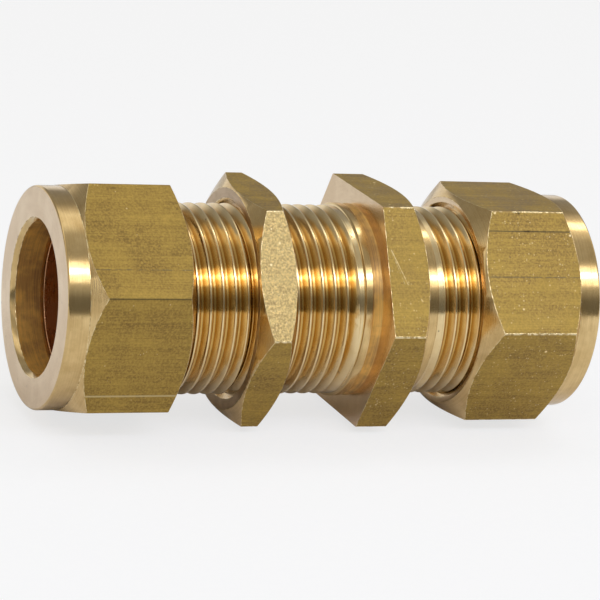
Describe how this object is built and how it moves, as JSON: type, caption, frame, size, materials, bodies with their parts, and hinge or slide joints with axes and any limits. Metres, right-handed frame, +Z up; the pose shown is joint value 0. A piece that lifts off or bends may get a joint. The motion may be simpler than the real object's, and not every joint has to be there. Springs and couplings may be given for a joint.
{
  "type": "bulkhead compression coupling",
  "caption": "Brass bulkhead compression coupling: hex flange with a through thread, lock nut, and a compression nut with an olive on each end.",
  "frame": {"origin": "centre of the flange face that bears on the panel, on the axis of the run", "axes": "X along the run of the tube, left end at -X and right end at +X; +Z up with one flat of the fixed flange underneath"},
  "size_m": [0.061, 0.0286, 0.0266],
  "materials": {
    "body_brass": "Turned and drawn brass: bright cut threads, dull drawn hexagon flats with fine lengthwise lines and nicks.",
    "lock_nut_brass": "Pale, slightly granular drawn brass with turned end faces.",
    "nut_brass": "Drawn brass flats, turned collar and bevels with fine turning marks.",
    "olive_copper": "Smooth, reddish copper-rich brass."
  },
  "bodies": {
    "body": {"fitting_body": "body_brass"},
    "panel_nut": {"lock_nut": "lock_nut_brass"},
    "olive_left": {"left_olive": "olive_copper"},
    "nut_left": {"left_nut": "nut_brass"},
    "olive_right": {"right_olive": "olive_copper"},
    "nut_right": {"right_nut": "nut_brass"}
  },
  "joints": [
    {"name": "lock_nut_travel", "type": "slide", "parent": "body", "child": "panel_nut", "axis": [1, 0, 0], "range_m": [-0.00564, 0.00705]},
    {"name": "left_nut_travel", "type": "slide", "parent": "body", "child": "olive_left", "axis": [-1, 0, 0], "range_m": [0, 0.00705]},
    {"name": "left_nut_turn", "type": "hinge", "parent": "olive_left", "child": "nut_left", "pos_m": [-0.0286, 0, 0], "axis": [-1, 0, 0], "range_deg": [0, 1800]},
    {"name": "right_nut_travel", "type": "slide", "parent": "body", "child": "olive_right", "axis": [1, 0, 0], "range_m": [0, 0.00705]},
    {"name": "right_nut_turn", "type": "hinge", "parent": "olive_right", "child": "nut_right", "pos_m": [0.0185, 0, 0], "axis": [1, 0, 0], "range_deg": [0, 1800]}
  ],
  "couplings": [
    {"joint": "left_nut_turn", "follows": "left_nut_travel", "rad_per_m": 4453},
    {"joint": "right_nut_turn", "follows": "right_nut_travel", "rad_per_m": 4453}
  ]
}
